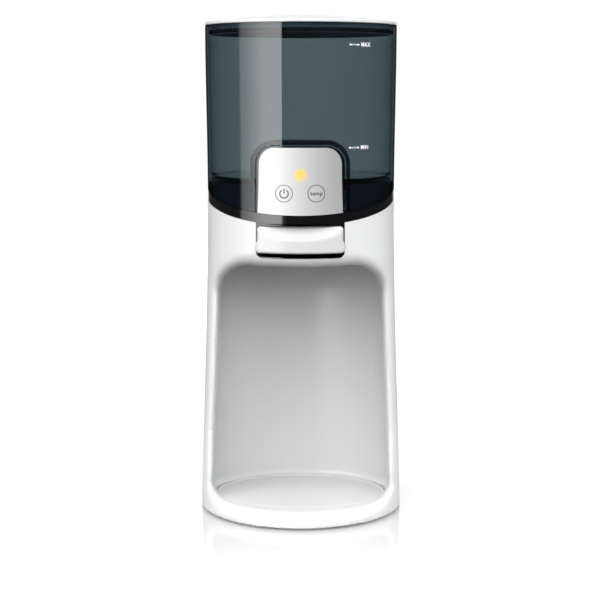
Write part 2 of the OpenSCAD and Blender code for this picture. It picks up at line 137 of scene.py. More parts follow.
LEVER_HALF = 30.3
LEVER_EDGE_LOW = 199.4
LEVER_EDGE_HIGH = 216.5
FRAME_HALF = LEVER_FRAME_HIGH[0]
FRAME_LOW = LEVER_FRAME_LOW[2] - 1.2
PIVOT_Y = (PIN_LOW[1] + PIN_HIGH[1]) / 2
PIVOT_Z = (PIN_LOW[2] + PIN_HIGH[2]) / 2
SOCKET_Y = (SOCKET_LOW[1] + SOCKET_HIGH[1]) / 2
SOCKET_R = 14.0
SOCKET_FLOOR = PLINTH_TOP - 12.0
VALVE_Y = (NOZZLE_LOW[1] + NOZZLE_HIGH[1]) / 2
SPRING_WIRE = 0.35
SPRING_TURNS = 3

# The camera goes with the guessed depth: the photo fits as well with other depths and distances.
CAMERA_LENS = 98.06
CAMERA_PLACE = (8.1, -1214.3, 312.9)
CAMERA_PITCH = 7.393
CAMERA_TURN = 0.414


# ---------- the outline ----------

def half_width(z):
    """Half width of the outside at a height; z may be a number or an array."""
    t = np.clip((WAIST_Z - z) / WAIST_Z, 0, None)
    below = WAIST_HALF + (BASE_HALF - WAIST_HALF) * (2.1 * t ** 2 - 1.1 * t ** 3)
    s = np.clip((z - WAIST_Z) / (RIM_Z - WAIST_Z), 0, 1)
    above = WAIST_HALF + (RIM_HALF - WAIST_HALF) * (1 - np.cos(np.pi * s)) / 2
    return np.where(z < WAIST_Z, below, above)


def parting_z(y, lift=0.0):
    """Height of the line that parts the body from the tank: tilted in front, level behind."""
    bend_y = LEVEL_Y - LEVEL_RADIUS * (math.sin(DOCK_TILT) - math.tan(DOCK_TILT / 2))
    end_y = LEVEL_Y + LEVEL_RADIUS * math.tan(DOCK_TILT / 2)
    slope = DOCK_SIDE_Z + y * math.tan(DOCK_TILT)
    across = np.clip(end_y - y, 0, LEVEL_RADIUS)
    arc = LEVEL_Z - LEVEL_RADIUS + np.sqrt(LEVEL_RADIUS ** 2 - across ** 2)
    return lift + np.where(y < bend_y, slope, np.where(y < end_y, arc, LEVEL_Z))


# ---------- meshes from closed shapes ----------

def mesh_object(name, vertices, faces):
    """A mesh object from vertices in millimetres."""
    mesh = bpy.data.meshes.new(name)
    mesh.from_pydata((np.asarray(vertices, float) * MM).tolist(), [], [list(map(int, f)) for f in faces])
    mesh.validate()
    mesh.update()
    obj = bpy.data.objects.new(name, mesh)
    bpy.context.scene.collection.objects.link(obj)
    return obj


def tidy_normals(obj):
    """Turns every face outward."""
    work = bmesh.new()
    work.from_mesh(obj.data)
    bmesh.ops.recalc_face_normals(work, faces=work.faces)
    work.to_mesh(obj.data)
    work.free()


def smooth(obj, degrees=30):
    """Smooth shading, broken where two faces meet at more than this angle."""
    obj.data.shade_smooth()
    limit = math.radians(degrees)
    work = bmesh.new()
    work.from_mesh(obj.data)
    for edge in work.edges:
        edge.smooth = len(edge.link_faces) == 2 and edge.calc_face_angle(0) < limit
    work.to_mesh(obj.data)
    work.free()
    return obj


def turned(name, profile, ratio=DEPTH_RATIO, centre=(0.0, 0.0), segments=192):
    """A closed (radius, z) profile turned into an oval body. Points on the axis have radius 0."""
    angles = np.linspace(0, 2 * np.pi, segments, endpoint=False)
    vertices, rings = [], []
    for r, z in profile:
        if r < 1e-6:
            rings.append([len(vertices)] * segments)
            vertices.append((centre[0], centre[1], z))
            continue
        start = len(vertices)
        rings.append(list(range(start, start + segments)))
        for a in angles:
            vertices.append((centre[0] + r * np.cos(a), centre[1] + ratio * r * np.sin(a), z))
    faces = []
    for lower, upper in zip(rings, rings[1:] + rings[:1]):
        for i in range(segments):
            j = (i + 1) % segments
            corners = [lower[i], lower[j], upper[j], upper[i]]
            corners = [c for n, c in enumerate(corners) if c not in corners[:n]]
            if len(corners) > 2:
                faces.append(corners)
    obj = mesh_object(name, vertices, faces)
    tidy_normals(obj)
    return obj


def form(name, low, high, inset=0.0, steps=None):
    """The outside's solid form between two heights, drawn in by inset."""
    steps = steps or max(2, int((high - low) / 3))
    heights = np.linspace(low, high, steps + 1)
    side = [(float(half_width(z)) - inset, z) for z in heights]
    return turned(name, [(0, low)] + side + [(0, high)])


def extruded(name, outline, axis, low, high):
    """A flat outline taken along x ("x": outline in y, z), along y ("y": outline in x, z) or along z."""
    place = {
        "x": lambda a, b, t: (t, a, b),
        "y": lambda a, b, t: (a, t, b),
        "z": lambda a, b, t: (a, b, t),
    }[axis]
    count = len(outline)
    vertices = [place(a, b, t) for t in (low, high) for a, b in outline]
    faces = [list(range(count)), list(range(count, 2 * count))]
    faces += [[i, (i + 1) % count, count + (i + 1) % count, count + i] for i in range(count)]
    obj = mesh_object(name, vertices, faces)
    tidy_normals(obj)
    return obj


def block(name, low, high):
    """A box between two corners."""
    outline = [(low[0], low[1]), (high[0], low[1]), (high[0], high[1]), (low[0], high[1])]
    return extruded(name, outline, "z", low[2], high[2])


def cylinder(name, radius, axis, low, high, centre, segments=64):
    """A round bar along an axis."""
    turn = np.linspace(0, 2 * np.pi, segments, endpoint=False)
    outline = [(centre[0] + radius * np.cos(a), centre[1] + radius * np.sin(a)) for a in turn]
    return extruded(name, outline, axis, low, high)


def arc(centre, radius, start, end, steps=14):
    """Points along an arc; angles in degrees."""
    turn = np.radians(np.linspace(start, end, steps + 1))
    return [(centre[0] + radius * np.cos(a), centre[1] + radius * np.sin(a)) for a in turn]


def arch_outline(half, low, high, corner):
    """A round-topped outline standing on z = low."""
    return (
        [(-half, low), (half, low)]
        + arc((half - corner, high - corner), corner, 0, 90)
        + arc((corner - half, high - corner), corner, 90, 180)
    )


def rounded_outline(half, low, high, corner):
    """A rectangle with four round corners."""
    return (
        arc((half - corner, low + corner), corner, -90, 0)
        + arc((half - corner, high - corner), corner, 0, 90)
        + arc((corner - half, high - corner), corner, 90, 180)
        + arc((corner - half, low + corner), corner, 180, 270)
    )


def above_parting(name, lift):
    """Everything above the parting line."""
    steps = np.linspace(-FAR, FAR, 81)
    outline = [(y, float(parting_z(y, lift))) for y in steps] + [(FAR, 3 * FAR + 40), (-FAR, 3 * FAR + 40)]
    return extruded(name, outline, "x", -FAR, FAR)


def combine(obj, others, operation):
    """Joins other closed meshes to obj, or takes them away; the others are used up."""
    for other in others:
        modifier = obj.modifiers.new("shape", "BOOLEAN")
        modifier.operation = operation
        modifier.solver = "EXACT"
        modifier.object = other
        bpy.context.view_layer.update()
        depsgraph = bpy.context.evaluated_depsgraph_get()
        mesh = bpy.data.meshes.new_from_object(obj.evaluated_get(depsgraph))
        obj.modifiers.clear()
        old = obj.data
        obj.data = mesh
        bpy.data.meshes.remove(old)
        bpy.data.objects.remove(other)
    work = bmesh.new()
    work.from_mesh(obj.data)
    bmesh.ops.remove_doubles(work, verts=work.verts, dist=0.002 * MM)
    bmesh.ops.dissolve_degenerate(work, edges=work.edges, dist=0.001 * MM)
    work.to_mesh(obj.data)
    work.free()
    return obj


def cut(obj, *others):
    """Takes the others away from obj."""
    return combine(obj, others, "DIFFERENCE")


def add(obj, *others):
    """Joins the others to obj."""
    return combine(obj, others, "UNION")


def keep(obj, *others):
    """Keeps only what obj shares with the others."""
    return combine(obj, others, "INTERSECT")


def soften(obj, width=0.25, segments=2, degrees=38):
    """Rounds the sharp edges a little, then shades the piece smooth."""
    modifier = obj.modifiers.new("soft edges", "BEVEL")
    modifier.width = width * MM
    modifier.segments = segments
    modifier.limit_method = "ANGLE"
    modifier.angle_limit = math.radians(degrees)
    modifier.use_clamp_overlap = True
    modifier.harden_normals = False
    return smooth(obj, degrees)


# ---------- meshes from distance fields ----------

def round_max(a, b, radius):
    """The larger of two fields with the corner between them rounded."""
    outside = np.hypot(np.maximum(radius + a, 0), np.maximum(radius + b, 0))
    return np.minimum(-radius, np.maximum(a, b)) + outside


def surface(name, field, low, high, step):
    """The mesh where a field is zero, with its vertices moved on to the exact surface."""
    axes = [np.arange(a, b + step, step) for a, b in zip(low, high)]
    values = field(*np.meshgrid(*axes, indexing="ij"))
    values[:, :, [0, -1]] = np.maximum(values[:, :, [0, -1]], step)
    inside = values < 0
    shape = np.array(values.shape) - 1
    corner = [(i, j, k) for i in (0, 1) for j in (0, 1) for k in (0, 1)]
    views = [tuple(slice(c, c + n) for c, n in zip(place, shape)) for place in corner]
    count = sum(inside[v].astype(np.int8) for v in views)
    active = (count > 0) & (count < 8)
    cells = np.argwhere(active)
    samples = np.stack([values[v][active] for v in views], axis=1)
    total = np.zeros((len(cells), 3))
    hits = np.zeros(len(cells))
    for a in range(8):
        for b in range(a + 1, 8):
            if sum(abs(p - q) for p, q in zip(corner[a], corner[b])) != 1:
                continue
            crossing = (samples[:, a] < 0) != (samples[:, b] < 0)
            share = samples[crossing, a] / (samples[crossing, a] - samples[crossing, b])
            start, end = np.array(corner[a], float), np.array(corner[b], float)
            total[crossing] += start + share[:, None] * (end - start)
            hits[crossing] += 1
    points = np.array([a[0] for a in axes]) + step * (cells + total / hits[:, None])
    points = on_surface(points, field, step)
    number = np.full(shape, -1)
    number[active] = np.arange(len(cells))
    faces = []
    for axis in range(3):
        first, second = [a for a in range(3) if a != axis]
        near = np.take(inside, range(shape[axis]), axis)
        ahead = np.take(inside, range(1, shape[axis] + 1), axis)
        for turn, found in ((False, near & ~ahead), (True, ~near & ahead)):
            at = np.argwhere(found)
            at = at[(at[:, first] > 0) & (at[:, second] > 0)]
            at = at[(at[:, first] < shape[first]) & (at[:, second] < shape[second])]
            ring = []
            for back in ((1, 1), (0, 1), (0, 0), (1, 0)):
                cell = at.copy()
                cell[:, first] -= back[0]
                cell[:, second] -= back[1]
                ring.append(number[tuple(cell.T)])
            quads = np.stack(ring, axis=1)
            flip = turn != (axis == 1)
            faces.append(quads[:, ::-1] if flip else quads)
    return mesh_object(name, points, np.concatenate(faces))


def on_surface(points, field, step):
    """Moves points along the field's slope until they lie where it is zero."""
    reach = 0.02
    for _ in range(4):
        value = field(*points.T)
        slope = np.stack(
            [(field(*(points + e).T) - field(*(points - e).T)) / (2 * reach) for e in np.eye(3) * reach],
            axis=1,
        )
        length = np.maximum((slope ** 2).sum(1), 0.05)
        move = -value[:, None] * slope / length[:, None]
        size = np.linalg.norm(move, axis=1, keepdims=True)
        points = points + move * np.minimum(1, 0.5 * step / np.maximum(size, 1e-9))
    return points


def outside_field(x, y, z, inset=0.0):
    """Distance outside the body's oval outline."""
    reach = np.sqrt(x ** 2 + (y / DEPTH_RATIO) ** 2)
    tilt = half_width(z + 0.5) - half_width(z - 0.5)
    slope = np.sqrt((x ** 2 + (y / DEPTH_RATIO ** 2) ** 2) / np.maximum(reach, 1) ** 2 + tilt ** 2)
    return (reach - half_width(z)) / np.maximum(slope, 0.5) + inset


def bay_field(x, y, z, floor):
    """Distance outside the bottle bay; less than zero inside it."""
    rise = np.clip(z / BAY_TOP, 0, 1)
    half = BAY_LOW_HALF + (BAY_HIGH_HALF - BAY_LOW_HALF) * rise
    behind = np.maximum(y - BAY_Y, 0)
    reach = np.sqrt((x / half) ** 2 + (behind / BAY_DEPTH) ** 2)
    slope = np.sqrt((x / half ** 2) ** 2 + (behind / BAY_DEPTH ** 2) ** 2) / np.maximum(reach, 1e-3)
    side = (reach - 1) / np.maximum(slope, 1e-3)
    depth = np.clip((y - BAY_Y) / BAY_DEPTH, 0, 1)
    top_radius = np.interp(depth, [0, 1], [23, 32])
    low_radius = np.interp(y, [-62, -20, 20], [17, 9, 3])
    walls = round_max(side, z - BAY_TOP, top_radius)
    return round_max(walls, floor - z, low_radius)


def body_field(x, y, z):
    """The white body as if it were solid: its outer skin with the bay sunk into it."""
    bay = bay_field(x, y, z, TRAY_TOP)
    edge = np.interp(z, [9, 14, 30, 60, 185], [8, 7, 7, 10, 10])
    solid = round_max(outside_field(x, y, z), -bay, edge)
    return round_max(solid, BASE_Z - z, 0.8)


def hollow_field(x, y, z):
    """The space between the body's outer skin and the bay's lining."""
    lining = bay_field(x, y, z, TRAY_TOP - TRAY_THICK)
    return round_max(outside_field(x, y, z, WALL), WALL - lining, 5)


# ---------- white housing ----------

def make_front_housing():
    """The front shell with the bay's lining. Its bay is narrower at the top than the CAD part's."""
    step = 1.8
    high = (BASE_HALF + 4, BASE_HALF * DEPTH_RATIO + 4, LEVEL_Z + 9)
    low = (-high[0], -high[1], -6)
    shell = surface("housing_front", body_field, low, high, step)
    recess_low = TRAY_TOP - TRAY_THICK - 0.1
    recess_half = TRAY_HALF + 0.35
    recess = [(0, recess_low), (recess_half, recess_low), (recess_half, TRAY_TOP + 3), (0, TRAY_TOP + 3)]
    window = rounded_outline(FRAME_HALF + 0.1, FRAME_LOW - 0.1, 260, 4.2)
    rear_skin = block("cutter", (-FAR, SEAM_Y - 0.12, -9), (FAR, FAR, 400))
    cut(rear_skin, form("cutter", -20, 420, WALL + GAP))
    return smooth(cut(
        shell,
        turned("cutter", recess, TRAY_DEPTH / TRAY_HALF, (0, BAY_Y)),
        cylinder("cutter", 5.2, "z", BAY_TOP - 3, BAY_TOP + 6, (0, VALVE_Y)),
        extruded("cutter", window, "y", -FAR, PIVOT_Y),
        surface("cutter", hollow_field, low, high, 2.5),
        above_parting("cutter", 0),
        rear_skin,
    ), 40)


def make_rear_housing():
    """The plain rear shell, with a row of air slots and the opening for the mains inlet."""
    shell = form("housing_rear", BASE_Z, LEVEL_Z + 4)
    slots = [block("cutter", (x - 1.2, 60, 208), (x + 1.2, FAR, 222)) for x in np.arange(-30, 31, 7.5)]
    cut(
        shell,
        form("cutter", BASE_Z - 4, LEVEL_Z + 9, WALL),
        above_parting("cutter", 0),
        block("cutter", (-FAR, -FAR, -9), (FAR, SEAM_Y + 0.12, 400)),
        extruded("cutter", rounded_outline(11, 18, 32, 2), "y", 60, FAR),
        *slots,
    )
    return soften(shell, 0.4)


def make_tray():
    """The plate the bottle stands on: a thin raised rim around a shallow dish."""
    profile = (
        [(0, TRAY_TOP - TRAY_THICK), (TRAY_HALF - 0.5, TRAY_TOP - TRAY_THICK)]
        + [(TRAY_HALF, TRAY_TOP - TRAY_THICK + 0.5)]
        + arc((TRAY_HALF - 0.7, TRAY_TOP - 0.7), 0.7, 0, 90, 6)
        + [(TRAY_HALF - 1.3, TRAY_TOP)]
        + [(TRAY_HALF - 2.1, TRAY_TOP - 0.55), (TRAY_HALF - 3.0, TRAY_TOP - 0.7), (0, TRAY_TOP - 0.7)]
    )
    return smooth(turned("tray_plate", profile, TRAY_DEPTH / TRAY_HALF, (0, BAY_Y)), 35)


# ---------- dock, pod and panel ----------

def make_collar():
    """The glossy black band with the plinth that fills the tank's skirt."""
    band = form("dock_band", 205, 252)
    keep(band, above_parting("cutter", 0.05))
    cut(band, above_parting("cutter", BAND_HEIGHT))
    plinth = form("plinth", 200, PLINTH_TOP, PLINTH_INSET)
    keep(plinth, above_parting("cutter", -5))
    inner = form("cutter", 190, PLINTH_TOP - WALL, PLINTH_INSET + WALL)
    cut(inner, cylinder("cutter", SOCKET_R + 2, "z", 185, 260, (0, SOCKET_Y)))
    add(band, plinth, cylinder("cup", SOCKET_R + 2, "z", SOCKET_FLOOR - 2, PLINTH_TOP - 1, (0, SOCKET_Y)))
    pod_arch = arch_outline(POD_HALF + GAP, 200, POD_TOP, POD_CORNER)
    pod_room = extruded("cutter", pod_arch, "y", -FAR, POD_BACK + GAP)
    keep(pod_room, above_parting("cutter", BAND_HEIGHT))
    cut(
        band,
        inner,
        pod_room,
        block("cutter", (-26, -70, 190), (26, POD_BACK, 260)),
        block("cutter", (-FRAME_HALF - 0.1, -FAR, 190), (FRAME_HALF + 0.1, PIVOT_Y + 8, 218.4)),
        cylinder("cutter", SOCKET_R, "z", SOCKET_FLOOR, 300, (0, SOCKET_Y)),
        cylinder("cutter", 4, "z", 190, 300, (0, SOCKET_Y)),
    )
    add(band, cylinder("pin", 2.2, "z", SOCKET_FLOOR - 1.5, SOCKET_FLOOR + 4.4, (0, SOCKET_Y)))
    return soften(band, 0.3)


def make_pod():
    """The hollow black pod that frames the panel."""
    pod = form("pod", 215, 285, PANEL_BACK + 0.1)
    keep(
        pod,
        extruded("cutter", arch_outline(POD_HALF, 200, POD_TOP, POD_CORNER + 1), "y", -FAR, POD_BACK),
        above_parting("cutter", BAND_HEIGHT + 0.1),
    )
    hollow = arch_outline(POD_HALF - 2, 190, POD_TOP - 2, POD_CORNER - 1)
    cut(pod, extruded("cutter", hollow, "y", -FAR, POD_BACK - 2))
    return soften(pod)


def make_panel():
    """The white panel, slightly narrower towards its top, with two holes for the buttons."""
    panel = form("panel_face", 215, 285, -PANEL_PROUD)
    keep(
        panel,
        extruded("cutter", arch_outline(PANEL_HALF, 200, PANEL_TOP, POD_CORNER), "y", -FAR, POD_BACK),
        above_parting("cutter", SKIRT_LIFT),
    )
    cut(
        panel,
        form("cutter", 210, 290, PANEL_BACK),
        *[cylinder("cutter", BUTTON_R + 0.1, "y", -FAR, 0, (x, BUTTON_Z)) for x in (-BUTTON_X, BUTTON_X)],
    )
    for vertex in panel.data.vertices:
        rise = min(max((vertex.co.z / MM - 224) / 24, 0), 1)
        outer = max(abs(vertex.co.x) / MM - PANEL_CORE, 0) / (PANEL_HALF - PANEL_CORE)
        vertex.co.x -= math.copysign(PANEL_TAPER * rise * outer * MM, vertex.co.x)
    return soften(panel, 0.35, 3)


def make_button(name, x):
    """A push button whose face follows the panel, on a flange behind it."""
    button = form(name, 215, 285, -PANEL_PROUD + 0.02)
    keep(button, cylinder("cutter", BUTTON_R, "y", -FAR, -70, (x, BUTTON_Z)))
    add(button, cylinder("flange", BUTTON_R + 0.8, "y", -70.6, -69.4, (x, BUTTON_Z)))
    return soften(button, 0.12)


# ---------- lever ----------

def lever_field(x, y, z):
    """The thumb lever: a scooped paddle, thick at its lower edge, with arms back to the pin."""
    outside = outside_field(x, y, z)
    proud = np.clip((outside - 1.0) / 0.5, 0, 1)
    widen = LEVER_HALF + proud * np.interp(z, [203, 206.5], [1.3, 0])
    skin = outside - 3.1
    frame_side = round_max(np.abs(x) - widen, LEVER_EDGE_LOW - 1.7 * proud - z, 3.0)
    frame_side = round_max(frame_side, z - LEVER_EDGE_HIGH, 2.4)
    paddle = round_max(skin, frame_side, 1.6)
    paddle = round_max(paddle, y + 66, 0.5)
    scoop = 16 - np.hypot(y + 86, z - 222)
    paddle = round_max(paddle, scoop, 1.2)
    arm_section = np.maximum(np.abs(x) - 27, np.abs(z - PIVOT_Z) - 3)
    arm_length = np.maximum(PIVOT_Y - 0.5 - y - 21, y - PIVOT_Y)
    arm = np.maximum(arm_section, arm_length)
    return np.minimum(paddle, arm)


def make_lever():
    """The lever with its hub and the fork that lifts the valve stem."""
    step = 0.5
    low = (-LEVER_HALF - 4, -86, LEVER_EDGE_LOW - 4)
    high = (LEVER_HALF + 4, PIVOT_Y + 3, LEVER_EDGE_HIGH + 3)
    lever = surface("lever", lever_field, low, high, step)
    add(lever, cylinder("hub", 4, "x", -29, 29, (PIVOT_Y, PIVOT_Z)))
    fork_z = PIVOT_Z + 1.5
    add(lever, block("fork", (-4, PIVOT_Y + 1, fork_z - 3), (4, VALVE_Y + 5, fork_z)))
    cut(
        lever,
        cylinder("cutter", 1.55, "x", -40, 40, (PIVOT_Y, PIVOT_Z)),
        block("cutter", (-2.3, VALVE_Y - 2.6, 200), (2.3, 0, 220)),
    )
    return smooth(lever, 35)


def make_lever_frame():
    """The black frame around and under the lever."""
    shell = form("lever_surround", 185, 240, 0.1)
    cut(shell, above_parting("cutter", -0.1))
    outline = rounded_outline(FRAME_HALF, FRAME_LOW, 230, 4)
    keep(shell, extruded("cutter", outline, "y", -FAR, PIVOT_Y + 7))
    hollow = rounded_outline(FRAME_HALF - 0.7, FRAME_LOW + 0.7, 217, 3)
    cut(
        shell,
        extruded("cutter", hollow, "y", -FAR, PIVOT_Y + 6),
        block("cutter", (-5.5, -60, 202), (5.5, 0, 216)),
        cylinder("cutter", 1.52, "x", -40, 40, (PIVOT_Y, PIVOT_Z)),
    )
    return soften(shell, 0.15)


def make_valve_spring():
    """The outlet valve's return spring: a wire wound with flat ends."""
    low, high = cad_box("valve_spring")
    radius = high[0] - SPRING_WIRE
    steps_per_turn = 32
    sides = 12
    steps = steps_per_turn * SPRING_TURNS
    turn = np.arange(steps + 1) / steps_per_turn
    rise = np.clip((turn - 0.5) / (SPRING_TURNS - 1), 0, 1)
    height = low[2] + SPRING_WIRE + (high[2] - low[2] - 2 * SPRING_WIRE) * rise
    around = np.linspace(0, 2 * np.pi, sides, endpoint=False)
    vertices = [
        (
            (radius + SPRING_WIRE * np.cos(b)) * np.cos(2 * np.pi * t),
            VALVE_Y + (radius + SPRING_WIRE * np.cos(b)) * np.sin(2 * np.pi * t),
            z + SPRING_WIRE * np.sin(b),
        )
        for t, z in zip(turn, height)
        for b in around
    ]
    faces = [
        [sides * a + j, sides * a + k, sides * (a + 1) + k, sides * (a + 1) + j]
        for a in range(steps)
        for j, k in zip(range(sides), [*range(1, sides), 0])
    ]
    faces += [list(range(sides)), list(range(sides * steps, sides * (steps + 1)))]
    spring = mesh_object("valve_coil", vertices, faces)
    tidy_normals(spring)
    return smooth(spring, 50)


# ---------- tank and lid ----------

LEVEL_MARKS = {"MIN": 271.4, "MAX": 342.8}


def pocket_prism(grow, back):
    """The arch-shaped pocket around the pod, grown outward."""
    outline = arch_outline(POCKET_HALF + grow, 190, POCKET_TOP + grow, POD_CORNER + 1.5 + grow)
    return extruded("cutter", outline, "y", -FAR, back)


def tank_inside():
    """The water's space: straight walls with one low rib at the upper level."""
    rib_z = LEVEL_MARKS["MAX"] - 0.4
    heights = list(np.arange(FLOOR_Z + 3, RIM_Z + 5, 3.0))
    corner = float(half_width(FLOOR_Z)) - TANK_WALL
    profile = [(0, FLOOR_Z)] + arc((corner - 3, FLOOR_Z + 3), 3, -90, 0, 6)
    for z in heights[1:]:
        if abs(z - rib_z) > 1.6:
            profile.append((float(half_width(z)) - TANK_WALL, float(z)))
    wall = float(half_width(rib_z)) - TANK_WALL
    profile += [(wall, rib_z - 0.5), (wall - 0.35, rib_z - 0.25)]
    profile += [(wall - 0.35, rib_z + 0.25), (wall, rib_z + 0.5)]
    profile[1:] = sorted(profile[1:], key=lambda p: p[1])
    return turned("cutter", profile + [(0, float(heights[-1]))])


def make_tank():
    """The tank with its skirt, its pocket and the spigot that plugs into the dock."""
    tank = form("tank_shell", 215, RIM_Z)
    keep(tank, above_parting("cutter", SKIRT_LIFT))
    water = tank_inside()
    cut(water, pocket_prism(POCKET_WALL, POD_BACK + 0.6 + POCKET_WALL))
    cut(tank, water, form("cutter", 190, TANK_UNDER, TANK_WALL))
    add(tank, cylinder("spigot", 11.5, "z", SOCKET_FLOOR + 2.5, FLOOR_Z - 1, (0, SOCKET_Y)))
    cut(tank, pocket_prism(0, POD_BACK + 0.6), cylinder("cutter", 8, "z", 190, FLOOR_Z + 5, (0, SOCKET_Y)))
    return soften(tank, 0.3)


def make_lid():
    """The shallow domed cap with its thin upright rim."""
    rim_low = LID_LOW[2]
    rim_top = rim_low + 2.5
    half = LID_HIGH[0]
    top = LID_HIGH[2]
    edge = half - 0.9
    shares = np.linspace(0, 1, 24)
    dome = [(edge * (1 - t), rim_top + (top - rim_top) * t * (2 - t)) for t in shares]
    profile = (
        [(0, top - 2.2), (half - 7, rim_low + 0.4), (half - 6, rim_low)]
        + [(half - 0.4, rim_low), (half, rim_low + 0.4)]
        + arc((half - 0.9, rim_top - 0.9), 0.9, 0, 80, 6)
        + dome[1:]
    )
    return smooth(turned("lid_cap", profile), 30)


def make_liner():
    """The dark liner that drops inside the tank, with a groove for the gasket."""
    outer = LINER_HIGH[0]
    low, high = LINER_LOW[2], LINER_HIGH[2]
    groove_low, groove_high = GASKET_LOW[2] - 0.1, GASKET_HIGH[2] + 0.1
    inner = outer - 4
    profile = [
        (0, high - 2), (inner - 1.5, high - 2), (inner, high - 3.5), (inner, low + 0.4), (inner + 0.4, low),
        (outer - 0.6, low), (outer, low + 0.6), (outer, groove_low), (outer - 1, groove_low),
        (outer - 1, groove_high), (outer, groove_high), (outer, high), (0, high),
    ]
    return smooth(turned("lid_insert", profile), 30)


def make_gasket():
    """The round-edged ring in the liner's groove."""
    low, high = GASKET_LOW[2], GASKET_HIGH[2]
    outer = GASKET_HIGH[0]
    inner = LINER_HIGH[0] - 0.85
    middle = (low + high) / 2
    nose = arc((outer - 0.9, middle), (high - low) / 2 - 0.1, -80, 80, 10)
    profile = [(inner, low), (outer - 0.9, low)] + nose
    profile = [(min(r, outer), z) for r, z in profile]
    profile += [(outer - 0.9, high), (inner, high)]
    return smooth(turned("lid_seal", profile), 40)


# ---------- marks ----------

def on_tank(x, z, proud):
    """A point on the front of the outside, at x and z."""
    half = half_width(z) + proud
    return -DEPTH_RATIO * np.sqrt(np.maximum(half ** 2 - x ** 2, 0))


def wrap_on_front(obj, proud):
    """Lays a flat mesh, drawn in x and z, on the curved front. Its y is its height above the surface."""
    for vertex in obj.data.vertices:
        x, y, z = np.array(vertex.co) / MM
        vertex.co = Vector((x, float(on_tank(x, z, proud)) + y, z)) * MM
    obj.data.update()
    return obj


def flat_text(name, words, size, left, z_centre, narrow=1.0, thick=0.03):
    """A word as a thin mesh, standing in the x-z plane with its left end at left."""
    curve = bpy.data.curves.new(name, "FONT")
    curve.body = words
    curve.size = size * MM
    curve.extrude = thick / 2 * MM
    curve.offset = 0.05 * MM
    curve.resolution_u = 6
    curve.space_character = 1.06
    curve.align_y = "CENTER"
    holder = bpy.data.objects.new(name, curve)
    bpy.context.scene.collection.objects.link(holder)
    bpy.context.view_layer.update()
    mesh = bpy.data.meshes.new_from_object(holder.evaluated_get(bpy.context.evaluated_depsgraph_get()))
    bpy.data.objects.remove(holder)
    obj = bpy.data.objects.new(name, mesh)
    bpy.context.scene.collection.objects.link(obj)
    start = min(v.co.x for v in mesh.vertices)
    for vertex in mesh.vertices:
        x, y, z = vertex.co
        vertex.co = Vector(((x - start) * narrow + left * MM, -z, y + z_centre * MM))
    return obj


def flat_ring(name, centre, radius, width, start=0, end=360, thick=0.03):
    """A thin ring or part of one, standing in the x-z plane."""
    closed = end - start >= 360
    turn = np.radians(np.linspace(start, end, 65))
    if closed:
        turn = turn[:-1]
    vertices, faces = [], []
    for a in turn:
        for r, y in ((radius - width / 2, -thick), (radius + width / 2, -thick),
                     (radius + width / 2, thick), (radius - width / 2, thick)):
            vertices.append((centre[0] + r * np.cos(a), y, centre[1] + r * np.sin(a)))
    count = len(turn)
    for i in range(count if closed else count - 1):
        j = (i + 1) % count
        for k in range(4):
            faces.append([4 * i + k, 4 * j + k, 4 * j + (k + 1) % 4, 4 * i + (k + 1) % 4])
    if not closed:
        faces += [[0, 1, 2, 3], [4 * count - 1, 4 * count - 2, 4 * count - 3, 4 * count - 4]]
    obj = mesh_object(name, vertices, faces)
    tidy_normals(obj)
    return obj


def flat_bar(name, low, high, thick=0.03):
    """A thin bar, standing in the x-z plane."""
    return block(name, (low[0], -thick, low[1]), (high[0], thick, high[1]))


def join(obj, *others):
    """Puts the others' meshes into obj as they are."""
    work = bmesh.new()
    work.from_mesh(obj.data)
    for other in others:
        work.from_mesh(other.data)
        bpy.data.objects.remove(other)
    work.to_mesh(obj.data)
    work.free()
    return obj


def make_level_mark(word):
    """A level word with its bar, on the tank."""
    z = LEVEL_MARKS[word]
    mark = join(
        flat_text(f"mark_{word.lower()}", word, 4.0, 42.6, z, 0.74),
        flat_bar("bar", (34.2, z - 0.5), (41.2, z + 0.5)),
    )
    return wrap_on_front(mark, 0.05)


def make_standby_mark():
    """A broken ring with an upright bar in its gap."""
    centre = (-BUTTON_X, BUTTON_Z - 0.2)
    ring = flat_ring("mark_power", centre, 2.95, 0.75, 124, 416)
    bar = flat_bar("bar", (centre[0] - 0.4, centre[1] + 0.2), (centre[0] + 0.4, centre[1] + 3.6))
    return wrap_on_front(join(ring, bar), PANEL_PROUD + 0.02)


def make_temp_mark():
    """The word for temperature, centred on its button."""
    mark = flat_text("mark_temp", "temp", 4.0, 0, BUTTON_Z)
    width = max(v.co.x for v in mark.data.vertices) / MM
    for vertex in mark.data.vertices:
        vertex.co.x += (BUTTON_X - width / 2) * MM
    return wrap_on_front(mark, PANEL_PROUD + 0.02)


def make_button_ring(name, x):
    """The thin printed ring around a button."""
    ring = flat_ring(name, (x, BUTTON_Z), BUTTON_R - 0.25, 0.42)
    return wrap_on_front(ring, PANEL_PROUD + 0.02)


# ---------- light levels, tuned to the photograph's front view ----------

FLOOR_BOUNCE = 0.15
FLOOR_LIFT = 0.34
MIRROR_TINT = 0.55
MIRROR_REACH = 0.62
WHITE_BOUNCE = 0.15
SOFTBOX_LEVEL = 5.6
FILL_LEVEL = 0.3
LEFT_LEVEL = 1.0
RIGHT_LEVEL = 2.5
KEY_LEVEL = 2.1
KEY_TOWARDS = Vector((-0.25, -0.8, 0.55)).normalized()


# ---------- materials ----------

def nodes_of(name):
    """A new material with only an output node; returns the material, its node tree and the output."""
    material = bpy.data.materials.new(name)
    material.use_nodes = True
    tree = material.node_tree
    tree.nodes.clear()
    return material, tree, tree.nodes.new("ShaderNodeOutputMaterial")


